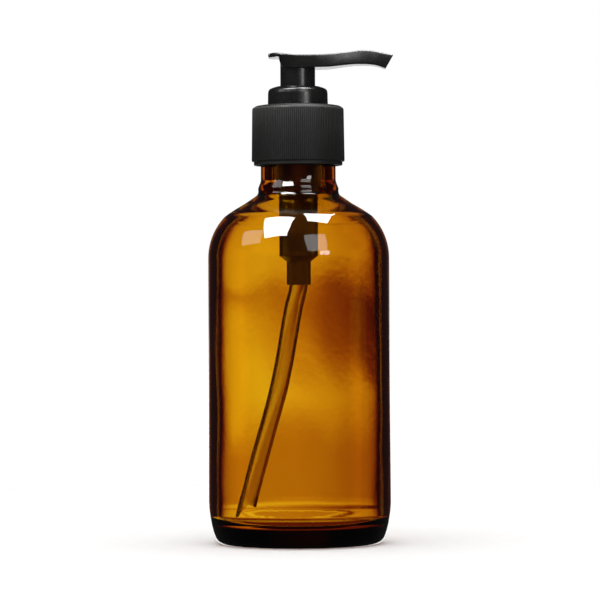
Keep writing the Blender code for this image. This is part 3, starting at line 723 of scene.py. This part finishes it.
def coil_tree():
    """A helix that takes its whole shape from its sizes, with its end turns closed up."""
    sizes = [("Turns", "Float", 8.0), ("Coil Radius", "Float", 0.004), ("Wire Radius", "Float", 0.0004)]
    sizes += [("Bottom", "Float", 0.1), ("Top", "Float", 0.12), ("Material", "Material", None)]
    tree = node_tree("closed coil", sizes)
    given = tree.nodes.new("NodeGroupInput").outputs
    line = add(tree, "GeometryNodeMeshToCurve", Mesh=given["Geometry"])
    fine = add(tree, "GeometryNodeResampleCurve", Curve=line.outputs[0], Count=COIL_POINTS)
    share = tree.nodes.new("GeometryNodeSplineParameter").outputs["Factor"]
    angle = math_node(tree, "MULTIPLY", math_node(tree, "MULTIPLY", share, tau), given["Turns"])
    end = math_node(tree, "DIVIDE", 1.0, given["Turns"])
    rest = math_node(tree, "SUBTRACT", 1.0, end)
    first = add(tree, "ShaderNodeMapRange", Value=share, From_Min=0.0, From_Max=end).outputs[0]
    last = add(tree, "ShaderNodeMapRange", Value=share, From_Min=rest, From_Max=1.0).outputs[0]
    middle = add(tree, "ShaderNodeMapRange", Value=share, From_Min=end, From_Max=rest).outputs[0]
    rise = math_node(tree, "MULTIPLY", given["Wire Radius"], END_RISE)
    low = math_node(tree, "ADD", given["Bottom"], given["Wire Radius"])
    high = math_node(tree, "SUBTRACT", given["Top"], given["Wire Radius"])
    whole_run = math_node(tree, "SUBTRACT", high, low)
    open_run = math_node(tree, "SUBTRACT", whole_run, math_node(tree, "MULTIPLY", rise, 2.0))
    closed = math_node(tree, "MULTIPLY", math_node(tree, "ADD", first, last), rise)
    closed_height = math_node(tree, "ADD", low, closed)
    height = math_node(tree, "ADD", closed_height, math_node(tree, "MULTIPLY", open_run, middle))
    across = math_node(tree, "MULTIPLY", math_node(tree, "COSINE", angle), given["Coil Radius"])
    away = math_node(tree, "MULTIPLY", math_node(tree, "SINE", angle), given["Coil Radius"])
    spot = add(tree, "ShaderNodeCombineXYZ", X=across, Y=away, Z=height)
    moved = add(tree, "GeometryNodeSetPosition", Geometry=fine.outputs[0], Position=spot.outputs[0])
    wire = add(tree, "GeometryNodeCurvePrimitiveCircle", Resolution=14, Radius=given["Wire Radius"])
    skin = {"Curve": moved.outputs[0], "Profile_Curve": wire.outputs[0], "Fill_Caps": True}
    solid = add(tree, "GeometryNodeCurveToMesh", **skin)
    real = add(tree, "GeometryNodeRealizeInstances", Geometry=solid.outputs[0])
    painted = add(tree, "GeometryNodeSetMaterial", Geometry=real.outputs[0], Material=given["Material"])
    tree.links.new(painted.outputs[0], tree.nodes.new("NodeGroupOutput").inputs[0])
    return tree


def return_spring():
    """The spring stretches between the housing and the plunger."""
    sizes = {"Turns": SPRING_TURNS, "Coil Radius": SPRING_R * MM, "Wire Radius": WIRE_R * MM}
    ends = {"Bottom": SPRING_FOOT_Z * MM, "Top": SPRING_TOP_Z * MM}
    line = path_piece("return_spring", [(0, 0, 0), (0, 0, 10)])
    coil = grown(line, coil_tree(), {**sizes, **ends, "Material": STEEL})
    coil.data.shade_smooth()
    coil.data.set_sharp_from_angle(angle=FEW_SIDED_SHARP)
    put(coil, None, STEEL, "return_spring")
    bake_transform(coil)


def ball_cage():
    foot = [(CAGE_BORE_R, CAGE_FOOT_Z), (CAGE_R, CAGE_FOOT_Z)]
    top = [(CAGE_R, CAGE_TOP_Z), (CAGE_BORE_R, CAGE_TOP_Z)]
    cage = turned("ball_cage", rounded(foot + top, 0.2), 72)
    for size, centre in (((7.1, 1.0, 1.3), (0, 0, 102.05)), ((1.0, 7.1, 1.1), (0, 0, 101.95))):
        combine(cage, block("cage_bar", size, centre), "UNION")
    put(cage, "pump", SEAL, "ball_cage")


def inlet_ball():
    outline = [(0, BALL_Z - BALL_R), *arc(0, BALL_Z, BALL_R, -86, 86, 40), (0, BALL_Z + BALL_R)]
    put(turned("inlet_ball", outline, 48), "ball", STEEL, "inlet_ball")


# --- dip tube -------------------------------------------------------------------------------

# x and z of the tube's curl, from inside the socket down to its free end
TUBE_ROUTE = [(0, 94.2), (-0.1, 86), (-1.7, 79), (-3.1, 71.5), (-4.9, 61), (-7.7, 48.5)]
TUBE_ROUTE += [(-11.2, 36), (-14.6, 24), (-17.7, 12.5)]
TUBE_R, TUBE_BORE_R = 3.1, 2.5
TUBE_SLANT = 4.0  # how far the slanted end stands out at its long side


def dip_tube():
    route = [Vector((x, 0, z)) for x, z in spline(TUBE_ROUTE, 12)]
    outer = loops_along(route, TUBE_R, 56, TUBE_SLANT)
    inner = loops_along(route, TUBE_BORE_R, 56, TUBE_SLANT * TUBE_BORE_R / TUBE_R)
    put(lofted("dip_tube", outer + inner[::-1], closed_ends=False), "pump", TUBE, "dip_tube")


# --- actuator head --------------------------------------------------------------------------

# Each station along the head: x, z and half width of its top edge, then of its bottom edge.
HEAD_STATIONS = [
    (-9.3, 162.9, 4.5, -9.2, 161.6, 4.3),
    (-8.0, 163.05, 6.2, -8.0, 161.6, 6.0),
    (-6.3, 162.95, 7.3, -6.3, 161.6, 7.1),
    (-5.9, 162.9, 7.4, -5.7, 159.6, 3.6),
    (-4.7, 162.75, 7.7, -4.8, 158.3, 4.6),
    (-2.5, 162.5, 7.8, -2.5, 158.1, 6.5),
    (0.5, 162.3, 7.8, 0.5, 158.1, 7.5),
    (6.0, 162.3, 7.8, 6.0, 158.1, 7.6),
    (10.5, 162.55, 7.3, 10.5, 158.25, 7.1),
    (14.5, 162.95, 6.5, 14.5, 158.7, 6.3),
    (18.0, 163.4, 5.7, 18.0, 159.1, 5.5),
    (21.3, 163.85, 5.0, 21.3, 159.2, 4.8),
    (24.6, 163.75, 4.5, 24.2, 159.1, 4.3),
    (28.0, 163.1, 4.0, 26.7, 158.7, 3.8),
    (31.5, 162.45, 3.7, 29.1, 157.85, 3.5),
]
HEAD_CORNER, DISH_DEPTH = 0.6, 0.55
SKIRT_R, SKIRT_FOOT_Z, SKIRT_TOP_Z, SKIRT_EDGE = 5.8, 145.0, 161.2, 0.25
STEM_SOCKET_R, STEM_SOCKET_TOP_Z = 3.6, 158.2
CHANNEL_ROUTE = [(0, 160.1), (8, 160.4), (14.5, 160.9), (20, 161.35)]
CHANNEL_ROUTE += [(24.4, 161.25), (27.5, 160.8), (30, 160), (33, 158.9)]
CHANNEL_R = 1.4


def head_section(x_top, z_top, w_top, x_low, z_low, w_low):
    """A rounded four-cornered section, dished on top where the thumb presses."""
    top, low = Vector((x_top, 0, z_top)), Vector((x_low, 0, z_low))
    down = (low - top).normalized()
    side = Vector((0, 1, 0))
    corner = min(HEAD_CORNER, (low - top).length * LONGEST_SHARE)
    quarter = [radians(15 * step) for step in range(7)]
    dish = DISH_DEPTH * smooth((x_top + 9) / 7) * smooth((19 - x_top) / 12)
    top_left, top_right = top + side * (corner - w_top), top + side * (w_top - corner)
    low_left, low_right = low + side * (corner - w_low), low + side * (w_low - corner)
    points = []
    for k in range(13):
        y = (1 - k / 6) * (w_top - corner)
        points.append(top + side * y + down * dish * (1 - (y / w_top) ** 2))
    points += [top_left - side * corner * sin(a) + down * corner * (1 - cos(a)) for a in quarter[1:]]
    points += [low_left - side * corner * cos(a) - down * corner * (1 - sin(a)) for a in quarter]
    points += [low + side * (k / 4 - 1) * (w_low - corner) for k in range(1, 8)]
    points += [low_right + side * corner * sin(a) - down * corner * (1 - cos(a)) for a in quarter]
    points += [top_right + side * corner * cos(a) + down * corner * (1 - sin(a)) for a in quarter[:-1]]
    return points


def eased_end(station, outward, length, depth):
    """Stations that round the edge of an end face."""
    x_top, z_top, w_top, x_low, z_low, w_low = station
    made = []
    for step in range(1, 5):
        a = radians(22.5 * step)
        on, off = outward * length * sin(a), depth * (1 - cos(a))
        made.append((x_top + on, z_top - off, w_top - off, x_low + on, z_low + off, w_low - off))
    return made


def actuator_head():
    stations = spline(HEAD_STATIONS, 6)
    tail = eased_end(stations[0], -1, 0.5, 0.4)
    tip = eased_end(stations[-1], 1, 0.2, 0.2)
    head = lofted("actuator_head", [head_section(*s) for s in tail[::-1] + stations + tip])
    edge = arc(SKIRT_R - SKIRT_EDGE, SKIRT_FOOT_Z + SKIRT_EDGE, SKIRT_EDGE, -90, 0, 4)
    skirt = [(0, SKIRT_FOOT_Z), *edge, (SKIRT_R, 150.0), (SKIRT_R, SKIRT_TOP_Z), (0, SKIRT_TOP_Z)]
    combine(head, turned("head_skirt", skirt, 96), "UNION")
    bores = [(0, 144.0), (4.75, 144.0), (4.75, 150.6), (STEM_SOCKET_R, 150.6)]
    bores += [(STEM_SOCKET_R, STEM_SOCKET_TOP_Z), (1.8, STEM_SOCKET_TOP_Z), (1.8, 160.1), (0, 160.1)]
    combine(head, turned("head_bores", bores, 72), "DIFFERENCE")
    route = [Vector((x, 0, z)) for x, z in spline(CHANNEL_ROUTE, 4)]
    combine(head, lofted("spout_channel", loops_along(route, CHANNEL_R, 28)), "DIFFERENCE")
    put(head, "head", BLACK, "actuator_head")


# --- stage ----------------------------------------------------------------------------------

# Lengths on the stage are in metres, and azimuths in degrees: the camera stands at -90, to -Y.
CENTRE = Vector((0, 0, 0.082))
FLOOR_R, FLOOR_DROP = 0.32, 0.00005
LAMP_DISTANCE = 1.6
POWER_FOR_RADIANCE = 4  # for each square metre of a lamp
BEHIND, IN_FRONT = 90, -90
BACKDROP_LEVEL, ROOM_LEVEL = 1.5, 0.025  # what shiny faces see
DARK_LEVEL, CEILING_LEVEL, FRONT_LEVEL = 0.015, 0.6, 0.4  # what the glass sees
CARD_LEVEL, CARD_TOP_GAIN, CARD_ROW_GAIN = 0.65, 0.26, 0.36
SIDE_SHADE, PATCH_SHADE = 0.3, 0.75
WARMTH = (1.0, 1.9, 3.0)  # the power that each colour channel's level is raised to
GLASS_GAIN = 1.4
CAMERA_PLACE = (0.36 * MM, -1.05, 0.081)
LENS, SENSOR_WIDTH = 189.0, 36.0
CAMERA_ROLL = radians(0.31)


def floor():
    mesh = bpy.data.meshes.new("floor")
    bm = bmesh.new()
    bmesh.ops.create_circle(bm, cap_ends=True, radius=FLOOR_R, segments=128)
    bmesh.ops.translate(bm, vec=(0, 0, -FLOOR_DROP), verts=bm.verts)
    bm.to_mesh(mesh)
    bm.free()
    disc = bpy.data.objects.new("floor", mesh)
    bpy.context.scene.collection.objects.link(disc)
    paper = Finish("floor_paper", Roughness=0.9, Specular_IOR_Level=0.1)
    paper.colour(paper.blend(paper.noise(220, 3), (0.9, 0.9, 0.9), (0.93, 0.93, 0.93)))
    mesh.materials.append(paper.material)
    disc.visible_glossy = False
    disc.visible_transmission = False


def lamp(name, toward, width_deg, height_deg, radiance, roll_deg=0, glossy_only=True):
    """A rectangular lamp seen from the object in the given direction, with the given angular size."""
    direction = Vector(toward).normalized()
    light = bpy.data.lights.new(name, "AREA")
    light.shape = "RECTANGLE"
    light.size = 2 * LAMP_DISTANCE * tan(radians(width_deg / 2))
    light.size_y = 2 * LAMP_DISTANCE * tan(radians(height_deg / 2))
    light.energy = POWER_FOR_RADIANCE * radiance * light.size * light.size_y
    holder = bpy.data.objects.new(name, light)
    holder.location = CENTRE + direction * LAMP_DISTANCE
    holder.rotation_mode = "QUATERNION"
    facing = direction.to_track_quat("Z", "Y")
    holder.rotation_quaternion = facing @ Quaternion((0, 0, 1), radians(roll_deg))
    holder.visible_camera = False
    holder.visible_transmission = False
    holder.visible_diffuse = not glossy_only
    holder.visible_glossy = glossy_only
    bpy.context.scene.collection.objects.link(holder)


def lamps():
    """Two softboxes and three dimmer cards that only gloss shows, and a weak light from above."""
    lamp("left_softbox", (-0.371, -0.381, 0.847), width_deg=28, height_deg=41, radiance=20, roll_deg=23)
    lamp("right_softbox", (0.252, 0.077, 0.965), width_deg=40, height_deg=21, radiance=20, roll_deg=-6)
    lamp("side_card", (0.361, -0.81, 0.462), width_deg=26, height_deg=31, radiance=2.7)
    lamp("low_strip", (0.539, -0.829, 0.148), width_deg=13, height_deg=7, radiance=7)
    lamp("far_left_card", (-0.797, -0.279, 0.536), width_deg=26, height_deg=23, radiance=2.2, roll_deg=20)
    lamp("top_light", (-0.1, -0.2, 1.0), width_deg=60, height_deg=60, radiance=0.6, glossy_only=False)


def studio_world():
    """White to the camera and to matt faces. Gloss sees a dim room with one bright panel behind."""
    world = bpy.data.worlds.new("studio")
    world.use_nodes = True
    bpy.context.scene.world = world
    tree = world.node_tree
    back = tree.nodes["Background"]
    direction = tree.nodes.new("ShaderNodeTexCoord").outputs["Generated"]
    parts = add(tree, "ShaderNodeSeparateXYZ", Vector=direction).outputs
    azimuth = math_node(tree, "DEGREES", math_node(tree, "ARCTAN2", parts["Y"], parts["X"]))
    elevation = math_node(tree, "DEGREES", math_node(tree, "ARCSINE", parts["Z"]))
    rays = tree.nodes.new("ShaderNodeLightPath").outputs
    glass = glass_surroundings(tree, azimuth, elevation)
    backdrop = product(tree, around(tree, azimuth, BEHIND, 13, 17), around(tree, elevation, -12, 10, 13))
    gloss = math_node(tree, "ADD", product(tree, backdrop, BACKDROP_LEVEL), ROOM_LEVEL)
    plain = math_node(tree, "MAXIMUM", rays["Is Camera Ray"], rays["Is Diffuse Ray"])
    plain = math_node(tree, "MAXIMUM", plain, product(tree, rays["Is Glossy Ray"], gloss))
    seen = add(tree, "ShaderNodeMix", i0=rays["Is Transmission Ray"])
    seen.data_type = "RGBA"
    tree.links.new(plain, seen.inputs[MIX_FIRST])
    tree.links.new(glass, seen.inputs[MIX_SECOND])
    tree.links.new(seen.outputs[MIX_RESULT], back.inputs["Color"])


def glass_surroundings(tree, azimuth, elevation):
    """The warm cards, pale floor and dark gaps that show through the glass."""
    level = product(tree, card_shape(tree, azimuth, elevation), card_brightness(tree, azimuth, elevation))
    level = math_node(tree, "MAXIMUM", level, floor_and_ceiling(tree, azimuth, elevation))
    colour = tree.nodes.new("ShaderNodeCombineXYZ")
    for channel, power in enumerate(WARMTH):
        tinted = product(tree, math_node(tree, "POWER", level, power), GLASS_GAIN)
        tree.links.new(tinted, colour.inputs[channel])
    return colour.outputs[0]


def card_shape(tree, azimuth, elevation):
    """A card behind the bottle and one at each side, at azimuths 0 and 180, with a dimmer one in front."""
    off_the_sides = math_node(tree, "PINGPONG", azimuth, 90.0)
    back, sides = around(tree, azimuth, BEHIND, 8, 16), falling(tree, off_the_sides, 8, 16)
    front = product(tree, around(tree, azimuth, IN_FRONT, 0, 50), FRONT_LEVEL)
    every_card = math_node(tree, "MAXIMUM", math_node(tree, "MAXIMUM", back, sides), front)
    return product(tree, every_card, around(tree, elevation, 0, 11, 15))


def card_brightness(tree, azimuth, elevation):
    """A glowing row, a brighter upper part, and a shaded side with a dark patch in it."""
    row = product(tree, around(tree, elevation, -1.4, 0.1, 1.6), CARD_ROW_GAIN)
    lower = product(tree, falling(tree, elevation, -0.2, 0.5), CARD_TOP_GAIN)
    upper = math_node(tree, "SUBTRACT", CARD_TOP_GAIN, lower)
    rows = math_node(tree, "ADD", math_node(tree, "MAXIMUM", row, upper), CARD_LEVEL)
    side = one_minus(tree, product(tree, around(tree, azimuth, 80, 3, 14), SIDE_SHADE))
    patch = product(tree, around(tree, azimuth, 77, 6, 17), around(tree, elevation, -0.45, 0.25, 1.5))
    shade = one_minus(tree, product(tree, patch, PATCH_SHADE))
    return product(tree, product(tree, rows, side), shade)


def floor_and_ceiling(tree, azimuth, elevation):
    """The floor glows along the diagonal of azimuths 135 and -45, and is dimmer elsewhere."""
    off_the_diagonal = math_node(tree, "PINGPONG", math_node(tree, "SUBTRACT", azimuth, 135.0), 90.0)
    share = math_node(tree, "MAXIMUM", falling(tree, off_the_diagonal, 25, 38), 0.25)
    floor_glow = product(tree, around(tree, elevation, -30, 17, 21), share)
    from_above = math_node(tree, "SUBTRACT", 90.0, elevation)
    ceiling = product(tree, falling(tree, from_above, 30, 50), CEILING_LEVEL)
    return math_node(tree, "MAXIMUM", math_node(tree, "MAXIMUM", floor_glow, ceiling), DARK_LEVEL)


def one_minus(tree, value):
    return math_node(tree, "SUBTRACT", 1.0, value)


def around(tree, value, centre, start, end):
    """1 within start of the centre, easing down to 0 at end."""
    off_centre = math_node(tree, "ABSOLUTE", math_node(tree, "SUBTRACT", value, float(centre)))
    return falling(tree, off_centre, start, end)


def falling(tree, value, start, end):
    """1 up to start, easing down to 0 at end."""
    node = add(tree, "ShaderNodeMapRange", Value=value, From_Min=start, From_Max=end, To_Min=1.0, To_Max=0.0)
    node.interpolation_type = "SMOOTHSTEP"
    return node.outputs[0]


def camera():
    data = bpy.data.cameras.new("camera")
    data.sensor_width = SENSOR_WIDTH
    data.lens = LENS
    data.clip_start, data.clip_end = 0.05, 20.0
    holder = bpy.data.objects.new("camera", data)
    holder.location = CAMERA_PLACE
    holder.rotation_mode = "QUATERNION"
    holder.rotation_quaternion = Quaternion((0, 1, 0), CAMERA_ROLL) @ Quaternion((1, 0, 0), radians(90))
    bpy.context.scene.collection.objects.link(holder)
    bpy.context.scene.camera = holder


def main():
    glass_bottle()
    cap_shell()
    cap_ribs()
    neck_gasket()
    pump_housing()
    lock_collar()
    stem()
    piston_rod()
    piston()
    return_spring()
    ball_cage()
    inlet_ball()
    dip_tube()
    actuator_head()
    floor()
    lamps()
    studio_world()
    camera()
    bpy.context.scene.view_settings.view_transform = "Standard"


main()
